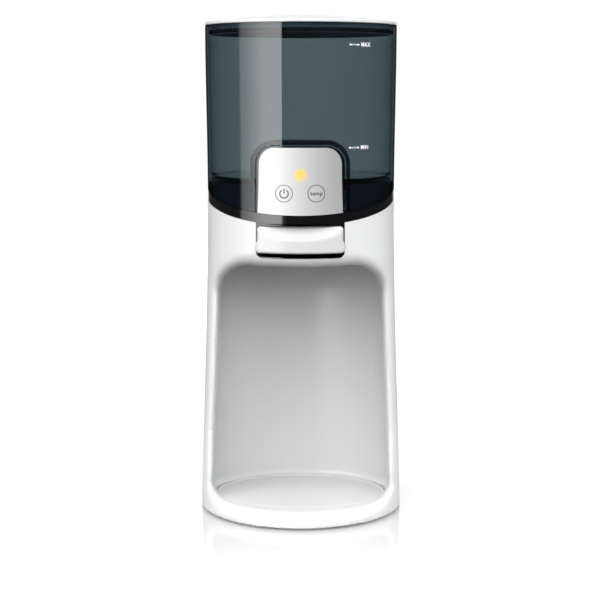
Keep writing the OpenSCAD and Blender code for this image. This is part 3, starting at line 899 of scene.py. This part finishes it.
def math_node(tree, operation, first, second=None):
    """One arithmetic step on sockets or numbers."""
    node = tree.nodes.new("ShaderNodeMath")
    node.operation = operation
    for slot, value in ((0, first), (1, second)):
        if value is None:
            continue
        if isinstance(value, (int, float)):
            node.inputs[slot].default_value = value
        else:
            tree.links.new(value, node.inputs[slot])
    return node.outputs[0]


def product(tree, *values):
    """The values multiplied together."""
    total = values[0]
    for value in values[1:]:
        total = math_node(tree, "MULTIPLY", total, value)
    return total


def one_minus(tree, value):
    """What a share leaves of one."""
    return math_node(tree, "SUBTRACT", 1.0, value)


def parts_of(tree, vector):
    """The x, y and z sockets of a vector."""
    split = tree.nodes.new("ShaderNodeSeparateXYZ")
    tree.links.new(vector, split.inputs[0])
    return split.outputs


def object_place(tree):
    """Where a point lies in the piece's own coordinates, in metres."""
    return tree.nodes.new("ShaderNodeTexCoord").outputs["Object"]


def mixed_colour(tree, share, first, second, blend="MIX"):
    """Two colours blended by a share; each is a socket or an (r, g, b)."""
    node = tree.nodes.new("ShaderNodeMix")
    node.data_type = "RGBA"
    node.blend_type = blend
    tree.links.new(share, node.inputs["Factor"])
    for name, colour in (("A", first), ("B", second)):
        if isinstance(colour, tuple):
            node.inputs[name].default_value = (*colour, 1)
        else:
            tree.links.new(colour, node.inputs[name])
    return node.outputs["Result"]


def principled_of(material):
    """The material's main shader node."""
    return next(n for n in material.node_tree.nodes if n.type == "BSDF_PRINCIPLED")


def dot_product(tree, first, second):
    """The dot product of two vectors."""
    node = tree.nodes.new("ShaderNodeVectorMath")
    node.operation = "DOT_PRODUCT"
    tree.links.new(first, node.inputs[0])
    tree.links.new(second, node.inputs[1])
    return node.outputs["Value"]


def noise(tree, scale, detail=3.0, stretch=(1, 1, 1)):
    """Noise over the piece's own coordinates; scale is per metre."""
    mapping = tree.nodes.new("ShaderNodeMapping")
    mapping.inputs["Scale"].default_value = stretch
    texture = tree.nodes.new("ShaderNodeTexNoise")
    texture.inputs["Scale"].default_value = scale
    texture.inputs["Detail"].default_value = detail
    tree.links.new(object_place(tree), mapping.inputs["Vector"])
    tree.links.new(mapping.outputs["Vector"], texture.inputs["Vector"])
    return texture.outputs["Fac"]


def spread(tree, value, low, high):
    """Maps noise onto a range."""
    node = tree.nodes.new("ShaderNodeMapRange")
    node.inputs["From Min"].default_value = 0.3
    node.inputs["From Max"].default_value = 0.7
    node.inputs["To Min"].default_value = low
    node.inputs["To Max"].default_value = high
    tree.links.new(value, node.inputs["Value"])
    return node.outputs["Result"]


def tinted(tree, value, first, second):
    """A colour between two, by a noise value."""
    return mixed_colour(tree, spread(tree, value, 0, 1), first, second)


def dimmed(tree, colour, share, in_reflections=False):
    """The colour itself to the eye, and a share of it to light on its way to another surface."""
    path = tree.nodes.new("ShaderNodeLightPath")
    indirect = path.outputs["Is Diffuse Ray"]
    if in_reflections:
        indirect = one_minus(tree, path.outputs["Is Camera Ray"])
    return mixed_colour(tree, indirect, colour, (share, share, share), "MULTIPLY")


def bumped(tree, value, distance):
    """A surface normal roughened by a height; distance is in millimetres."""
    node = tree.nodes.new("ShaderNodeBump")
    node.inputs["Strength"].default_value = 0.5
    node.inputs["Distance"].default_value = distance * MM
    tree.links.new(value, node.inputs["Height"])
    return node.outputs["Normal"]


def solid_finish(name, colour, roughness, bump=0.01, grain=900.0, metallic=0.0, spread_by=0.04,
                 coat=0.0, glow=None, specular=0.5, stretch=(1, 1, 1), sheen=0.0, bounce=1.0):
    """A moulded or machined finish: colour and roughness vary slightly, with a fine surface grain.

    A bounce under 1 holds back the light that the finish passes on to its neighbours."""
    material, tree, output = nodes_of(name)
    shader = tree.nodes.new("ShaderNodeBsdfPrincipled")
    broad = noise(tree, 28.0, 4.0, stretch)
    fine = noise(tree, grain, 2.0, stretch)
    darker = tuple(c * (1 - spread_by) for c in colour)
    lighter = tuple(min(1.0, c * (1 + spread_by)) for c in colour)
    tree.links.new(dimmed(tree, tinted(tree, broad, darker, lighter), bounce), shader.inputs["Base Color"])
    even = 3 * spread_by
    polish = spread(tree, broad, roughness * (1 - even), roughness * (1 + even))
    tree.links.new(polish, shader.inputs["Roughness"])
    tree.links.new(bumped(tree, fine, bump), shader.inputs["Normal"])
    shader.inputs["Metallic"].default_value = metallic
    shader.inputs["Specular IOR Level"].default_value = specular
    shader.inputs["Coat Weight"].default_value = coat
    shader.inputs["Coat Roughness"].default_value = 0.04
    shader.inputs["Sheen Weight"].default_value = sheen
    if glow:
        shader.inputs["Emission Color"].default_value = (*glow[0], 1)
        shader.inputs["Emission Strength"].default_value = glow[1]
    tree.links.new(shader.outputs[0], output.inputs[0])
    return material


def square_sum(tree, first, second):
    """The sum of two squares."""
    return math_node(
        tree, "ADD", product(tree, first, first), product(tree, second, second)
    )


def pocket_ring(tree, position):
    """How far a point lies outside the arch-shaped pocket, and whether it is in the pocket's wall."""
    radius = POD_CORNER + 1.5
    x, y, z = parts_of(tree, position)
    across = math_node(tree, "ABSOLUTE", x)
    across = math_node(tree, "MAXIMUM", math_node(tree, "SUBTRACT", across, (POCKET_HALF - radius) * MM), 0.0)
    up = math_node(tree, "SUBTRACT", z, (POCKET_TOP - radius) * MM)
    up = math_node(tree, "MAXIMUM", up, 0.0)
    away = math_node(tree, "SUBTRACT", math_node(tree, "SQRT", square_sum(tree, across, up)), radius * MM)
    inner = smooth_step(tree, away, 0.0, 0.3 * MM)
    past = smooth_step(tree, away, (POCKET_WALL - 0.4) * MM, POCKET_WALL * MM)
    outer = one_minus(tree, past)
    front = math_node(tree, "LESS_THAN", y, POD_BACK * MM)
    wall = product(tree, inner, outer, front)
    return away, wall


def clear_finish(name, tint, absorption, roughness=0.03):
    """Thin tinted plastic: light passes straight through, under a gloss on the face towards the eye.

    tint is what four surfaces leave of white light; absorption, per metre, darkens long paths in the wall.
    The pocket's wall, seen end-on, is darker still for its long path, with painted light and dark bands that
    stand in for reflections in it, and the tank's floor mirrors at low angles."""
    material, tree, output = nodes_of(name)
    geometry = tree.nodes.new("ShaderNodeNewGeometry")
    position = object_place(tree)
    outward = dot_product(tree, geometry.outputs["Normal"], geometry.outputs["Position"])
    seen = one_minus(tree, geometry.outputs["Backfacing"])
    away_from_middle = math_node(tree, "GREATER_THAN", outward, 0.0)
    outside = product(tree, away_from_middle, seen)
    outer_face = math_node(
        tree, "ABSOLUTE", math_node(tree, "SUBTRACT", away_from_middle, geometry.outputs["Backfacing"])
    )
    facing = dot_product(tree, geometry.outputs["Incoming"], geometry.outputs["Normal"])
    facing = math_node(tree, "ABSOLUTE", facing)
    edge_on = one_minus(tree, smooth_step(tree, facing, 0.1, 0.2))
    edge_on = product(tree, edge_on, outer_face)
    streaks = spread(tree, noise(tree, 18.0, 2.0), 0.245, 0.255)
    longer = math_node(tree, "ADD", 1.0, product(tree, edge_on, 6.0))
    power = product(tree, streaks, longer)
    colour = tree.nodes.new("ShaderNodeCombineColor")
    for channel, value in enumerate(tint):
        tree.links.new(math_node(tree, "POWER", value, power), colour.inputs[channel])

    away, wall = pocket_ring(tree, position)
    # painted reflections: two light and dark bands across the pocket's wall stand in for reflections in it;
    # the darkening is for the long path through the wall
    turns = product(tree, away, 4 * math.pi / (POCKET_WALL * MM))
    painted_reflection_bands = math_node(tree, "ADD", 0.5, product(tree, math_node(tree, "COSINE", turns), 0.5))
    ring = mixed_colour(tree, painted_reflection_bands, (0.2, 0.27, 0.38), (0.05, 0.08, 0.13))
    in_wall = product(tree, wall, outside)
    shaded = mixed_colour(tree, in_wall, colour.outputs[0], ring, "MULTIPLY")
    through = tree.nodes.new("ShaderNodeBsdfTransparent")
    tree.links.new(shaded, through.inputs["Color"])

    low = math_node(tree, "LESS_THAN", parts_of(tree, position)["Z"], (FLOOR_Z + 1) * MM)
    upright = parts_of(tree, geometry.outputs["Normal"])["Z"]
    flat = product(tree, math_node(tree, "GREATER_THAN", upright, 0.95), low)
    grazing = one_minus(tree, smooth_step(tree, facing, 0.15, 0.6))
    floor_share = product(tree, flat, seen, grazing)
    share = math_node(tree, "MAXIMUM", product(tree, outside, 0.05), floor_share)
    gloss = tree.nodes.new("ShaderNodeBsdfGlossy")
    polish = spread(tree, noise(tree, 40.0, 3.0), roughness * 0.8, roughness * 1.2)
    tree.links.new(polish, gloss.inputs["Roughness"])
    mix = tree.nodes.new("ShaderNodeMixShader")
    tree.links.new(share, mix.inputs[0])
    tree.links.new(through.outputs[0], mix.inputs[1])
    tree.links.new(gloss.outputs[0], mix.inputs[2])
    tree.links.new(mix.outputs[0], output.inputs["Surface"])
    inside = tree.nodes.new("ShaderNodeVolumeAbsorption")
    inside.inputs["Color"].default_value = (0.0, 0.1, 0.13, 1)
    inside.inputs["Density"].default_value = absorption
    tree.links.new(inside.outputs[0], output.inputs["Volume"])
    return material


def recolour(tree, shader, share, second):
    """Blends the finish's base colour towards a second colour by a share."""
    base = shader.inputs["Base Color"].links[0].from_socket
    tree.links.new(mixed_colour(tree, share, base, second), shader.inputs["Base Color"])


def dock_finish():
    """Glossy black band; the plinth inside the tank's skirt is a dark blue."""
    material = solid_finish("dock_black", (0.004, 0.004, 0.005), 0.12, 0.004, coat=0.3)
    tree = material.node_tree
    shader = principled_of(material)
    x, y, _ = parts_of(tree, object_place(tree))
    depth = math_node(tree, "DIVIDE", y, DEPTH_RATIO)
    reach = math_node(tree, "SQRT", square_sum(tree, x, depth))
    inner = one_minus(tree, smooth_step(tree, reach, 67.0 * MM, 68.0 * MM))
    recolour(tree, shader, inner, (0.035, 0.055, 0.085))
    return material


def panel_finish():
    """Satin white, with painted shade that darkens it towards the right, and a painted amber patch with a
    weak glow where the status light shines through it.
    """
    material = solid_finish("panel_white", (0.78, 0.78, 0.775), 0.42, 0.004, spread_by=0.01, specular=1.0)
    tree = material.node_tree
    shader = principled_of(material)
    x, _, z = parts_of(tree, object_place(tree))
    across = math_node(tree, "DIVIDE", x, MM)
    up = math_node(tree, "DIVIDE", math_node(tree, "SUBTRACT", z, LIGHT_Z * MM), MM)
    away = math_node(tree, "SQRT", square_sum(tree, across, up))
    # painted light: an amber patch in the base colour and a weak glow on the panel stand in for the status
    # light shining through it
    painted_halo = one_minus(tree, smooth_step(tree, away, 1.2, 6.4))
    # painted shade: the base colour is darkened towards the right, for light that falls from the left
    recolour(tree, shader, smooth_step(tree, across, -20, 32), (0.42, 0.42, 0.42))
    recolour(tree, shader, painted_halo, (1.0, 0.66, 0.1))
    shader.inputs["Emission Color"].default_value = (1.0, 0.68, 0.06, 1)
    tree.links.new(product(tree, painted_halo, 0.1), shader.inputs["Emission Strength"])
    return material


def make_finishes():
    """Every finish, by name; most are the record's material slots."""
    white = (0.83, 0.835, 0.84)
    return {
        "white_gloss": solid_finish(
            "white_gloss", white, 0.3, 0.006, spread_by=0.006, specular=0.4, bounce=WHITE_BOUNCE
        ),
        "white_tray": solid_finish(
            "white_tray", (0.94, 0.94, 0.94), 0.35, 0.006, spread_by=0.006, bounce=WHITE_BOUNCE
        ),
        "white_matte": solid_finish("white_matte", (0.8, 0.8, 0.8), 0.5, 0.02, spread_by=0.01),
        "panel_white": panel_finish(),
        "black_gloss": solid_finish("black_gloss", (0.004, 0.004, 0.005), 0.12, 0.004, coat=0.3),
        "dark_matte": solid_finish("dark_matte", (0.03, 0.032, 0.035), 0.5, 0.02),
        # painted light: the liner is dark; this light bluish colour makes up for the little light its
        # underside gets through the tank
        "liner_painted_light": solid_finish("liner_painted_light", (0.68, 0.76, 0.84), 0.5, 0.02),
        # painted shade: the lever is the housing's white plastic, made darker because its upward-tilted face
        # catches more light
        "lever_white_painted_shade": solid_finish("lever_white_painted_shade", (0.7, 0.702, 0.705), 0.3, 0.006, spread_by=0.006),
        "dock_black": dock_finish(),
        "smoked_clear": clear_finish("smoked_clear", (0.105, 0.145, 0.155), 60.0),
        "amber_lens": solid_finish("amber_lens", (0.9, 0.5, 0.05), 0.25, glow=((1, 0.7, 0.1), 0.5)),
        "clear_resin": solid_finish("clear_resin", (0.85, 0.8, 0.6), 0.12, glow=((1, 0.8, 0.2), 1.0)),
        "silicone": solid_finish("silicone", (0.62, 0.62, 0.6), 0.55, 0.02, sheen=0.1),
        "silicone_grey": solid_finish("silicone_grey", (0.05, 0.052, 0.055), 0.6, 0.02),
        "rubber_dark": solid_finish("rubber_dark", (0.03, 0.03, 0.03), 0.75, 0.05, 1500.0, spread_by=0.15),
        "steel": solid_finish("steel", (0.62, 0.61, 0.6), 0.28, 0.01, 500.0, 1.0, 0.06, stretch=(1, 1, 12)),
        "heater_metal": solid_finish("heater_metal", (0.55, 0.48, 0.4), 0.4, 0.03, 400.0, 1.0, 0.1),
        "board_green": solid_finish("board_green", (0.02, 0.12, 0.045), 0.35, 0.03, 700.0, spread_by=0.25),
        "wire_red": solid_finish("wire_red", (0.5, 0.03, 0.025), 0.4, 0.02, spread_by=0.1),
        "cable_grey": solid_finish("cable_grey", (0.35, 0.35, 0.36), 0.5, 0.03, 900.0, spread_by=0.08),
        # painted light: the white print glows weakly, brighter than the lamps alone make it
        "white_ink_painted_glow": solid_finish("white_ink_painted_glow", (0.85, 0.86, 0.87), 0.5, 0.01, glow=((1, 1, 1), 0.4)),
        "grey_ink": solid_finish("grey_ink", (0.03, 0.03, 0.032), 0.5, 0.01),
        "light_ink": solid_finish("light_ink", (0.1, 0.1, 0.105), 0.5, 0.01),
    }


def dress(obj, material):
    """Gives an object one material."""
    obj.data.materials.clear()
    obj.data.materials.append(material)


# ---------- stage ----------

def make_floor(finish):
    """The slab the object stands on."""
    floor = block("floor", (-900, -700, -20), (900, 3000, 0))
    dress(floor, finish)


def floor_finish():
    """White floor, lit from all round, that mirrors the object's foot when seen at a low angle."""
    material, tree, output = nodes_of("floor_white")
    diffuse = tree.nodes.new("ShaderNodeBsdfDiffuse")
    colour = tinted(tree, noise(tree, 30.0, 3.0), (0.86, 0.86, 0.86), (0.87, 0.87, 0.87))
    tree.links.new(dimmed(tree, colour, FLOOR_BOUNCE, True), diffuse.inputs["Color"])
    path = tree.nodes.new("ShaderNodeLightPath")
    lift = tree.nodes.new("ShaderNodeEmission")
    to_the_eye = product(tree, path.outputs["Is Camera Ray"], FLOOR_LIFT)
    tree.links.new(to_the_eye, lift.inputs["Strength"])
    lifted = tree.nodes.new("ShaderNodeAddShader")
    tree.links.new(diffuse.outputs[0], lifted.inputs[0])
    tree.links.new(lift.outputs[0], lifted.inputs[1])
    mirror = tree.nodes.new("ShaderNodeBsdfGlossy")
    mirror.inputs["Color"].default_value = (MIRROR_TINT, MIRROR_TINT, MIRROR_TINT, 1)
    mirror.inputs["Roughness"].default_value = 0.0
    geometry = tree.nodes.new("ShaderNodeNewGeometry")
    length = tree.nodes.new("ShaderNodeVectorMath")
    length.operation = "LENGTH"
    tree.links.new(geometry.outputs["Position"], length.inputs[0])
    far = smooth_step(tree, length.outputs["Value"], BASE_HALF * DEPTH_RATIO * MM, MIRROR_REACH)
    facing = dot_product(tree, geometry.outputs["Incoming"], geometry.outputs["Normal"])
    steep = smooth_step(tree, facing, 0.16, 0.4)
    close_by = one_minus(tree, far)
    at_low_angle = one_minus(tree, steep)
    near = product(tree, close_by, at_low_angle)
    mix = tree.nodes.new("ShaderNodeMixShader")
    tree.links.new(product(tree, near, 0.7), mix.inputs[0])
    tree.links.new(lifted.outputs[0], mix.inputs[1])
    tree.links.new(mirror.outputs[0], mix.inputs[2])
    tree.links.new(mix.outputs[0], output.inputs[0])
    return material


def smooth_step(tree, value, low, high):
    """Zero below low, one above high, smooth between."""
    node = tree.nodes.new("ShaderNodeMapRange")
    node.interpolation_type = "SMOOTHSTEP"
    node.inputs["From Min"].default_value = low
    node.inputs["From Max"].default_value = high
    tree.links.new(value, node.inputs["Value"])
    return node.outputs["Result"]


def make_world():
    """White studio: even soft light, a tall softbox to the left of the camera for the glossy parts."""
    world = bpy.data.worlds.new("studio")
    bpy.context.scene.world = world
    world.cycles.sampling_method = "NONE"
    world.use_nodes = True
    tree = world.node_tree
    tree.nodes.clear()
    output = tree.nodes.new("ShaderNodeOutputWorld")
    background = tree.nodes.new("ShaderNodeBackground")
    coords = tree.nodes.new("ShaderNodeTexCoord")
    x, y, z = parts_of(tree, coords.outputs["Generated"])
    path = tree.nodes.new("ShaderNodeLightPath")

    # the softbox, by azimuth from the camera's direction towards the left
    leftward = product(tree, x, -1.0)
    azimuth = math_node(tree, "ARCTAN2", leftward, product(tree, y, -1.0))
    inner = smooth_step(tree, azimuth, math.radians(23.5), math.radians(25))
    outer = one_minus(tree, smooth_step(tree, azimuth, math.radians(80), math.radians(85)))
    fade = product(tree, smooth_step(tree, azimuth, math.radians(42), math.radians(84)), -0.64)
    tall = smooth_step(tree, z, -0.35, -0.1)
    box = product(tree, inner, outer, tall)
    box = product(tree, box, math_node(tree, "ADD", 1.0, fade))
    behind = smooth_step(tree, y, 0.93, 0.97)
    dim = math_node(tree, "ADD", 0.05, product(tree, box, SOFTBOX_LEVEL))
    reflected = math_node(tree, "MAXIMUM", dim, behind)

    # diffuse light: an even dome, lighter at both sides, with a broad key from above in front
    towards = tree.nodes.new("ShaderNodeVectorMath")
    towards.operation = "DOT_PRODUCT"
    tree.links.new(coords.outputs["Generated"], towards.inputs[0])
    towards.inputs[1].default_value = KEY_TOWARDS
    key = product(tree, smooth_step(tree, towards.outputs["Value"], 0.2, 1.0), KEY_LEVEL)
    left = product(tree, smooth_step(tree, leftward, 0.55, 0.9), LEFT_LEVEL)
    right = product(tree, smooth_step(tree, x, 0.5, 0.85), RIGHT_LEVEL)
    low_down = one_minus(tree, smooth_step(tree, z, 0.25, 0.6))
    beside = product(tree, math_node(tree, "ADD", left, right), low_down)
    fill = math_node(tree, "ADD", math_node(tree, "ADD", FILL_LEVEL, beside), key)
    fill = product(tree, fill, smooth_step(tree, z, -0.05, 0.02))

    level = tree.nodes.new("ShaderNodeMix")
    tree.links.new(path.outputs["Is Glossy Ray"], level.inputs["Factor"])
    tree.links.new(fill, level.inputs["A"])
    tree.links.new(reflected, level.inputs["B"])
    # white to the eye, and to the floor's sharp mirror
    for flag, white in (("Is Singular Ray", 1 / MIRROR_TINT), ("Is Camera Ray", 1.0)):
        seen = tree.nodes.new("ShaderNodeMix")
        tree.links.new(path.outputs[flag], seen.inputs["Factor"])
        tree.links.new(level.outputs["Result"], seen.inputs["A"])
        seen.inputs["B"].default_value = white
        level = seen
    tree.links.new(level.outputs["Result"], background.inputs["Strength"])
    background.inputs["Color"].default_value = (1, 1, 1, 1)
    tree.links.new(background.outputs[0], output.inputs[0])


def make_camera():
    """The camera at the photograph's viewing angle."""
    data = bpy.data.cameras.new("camera")
    camera = bpy.data.objects.new("camera", data)
    bpy.context.scene.collection.objects.link(camera)
    data.sensor_width = 36.0
    data.lens = CAMERA_LENS
    data.clip_start = 0.05
    data.clip_end = 50.0
    camera.location = Vector(CAMERA_PLACE) * MM
    camera.rotation_euler = (math.radians(90 - CAMERA_PITCH), 0, math.radians(CAMERA_TURN))
    bpy.context.scene.camera = camera


# ---------- the scene ----------

def place(obj, body, material, *cad_nodes):
    """Gives a piece its finish and its CAD body, and hides the CAD nodes it stands for."""
    dress(obj, material)
    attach(obj, body)
    if cad_nodes:
        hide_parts(*cad_nodes)
    return obj


finishes = make_finishes()
slot_of = {part["node"]: part["material_slot"] for part in frame["record"]["subparts"]}
for node_name, cad_object in frame["nodes"].items():
    dress(cad_object, finishes[slot_of[node_name]])

place(make_front_housing(), "base", finishes["white_gloss"], "front_housing")
place(make_rear_housing(), "base", finishes["white_gloss"], "rear_housing")
place(make_tray(), "tray", finishes["white_tray"], "drip_tray")
place(make_collar(), "base", finishes["dock_black"], "dock_collar")
place(make_pod(), "base", finishes["black_gloss"], "control_pod")
place(make_panel(), "base", finishes["panel_white"], "control_panel")
place(make_button("key_power", -BUTTON_X), "power_key", finishes["panel_white"], "power_button")
place(make_button("key_temp", BUTTON_X), "temp_key", finishes["panel_white"], "temp_button")
place(make_lever(), "lever", finishes["lever_white_painted_shade"], "dispense_lever")
place(make_lever_frame(), "base", finishes["black_gloss"], "lever_frame")
spring = place(make_valve_spring(), "base", finishes["steel"], "valve_spring")
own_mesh(spring)
place(make_tank(), "tank", finishes["smoked_clear"], "water_tank")
place(make_lid(), "lid", finishes["white_gloss"], "tank_lid")
place(make_liner(), "lid", finishes["liner_painted_light"], "lid_liner")
place(make_gasket(), "lid", finishes["silicone_grey"], "lid_gasket")
for word in LEVEL_MARKS:
    place(make_level_mark(word), "tank", finishes["white_ink_painted_glow"])
place(make_standby_mark(), "power_key", finishes["grey_ink"])
place(make_temp_mark(), "temp_key", finishes["grey_ink"])
place(make_button_ring("ring_power", -BUTTON_X), "power_key", finishes["light_ink"])
place(make_button_ring("ring_temp", BUTTON_X), "temp_key", finishes["light_ink"])

make_floor(floor_finish())
make_world()
make_camera()
bpy.context.scene.view_settings.view_transform = "Standard"
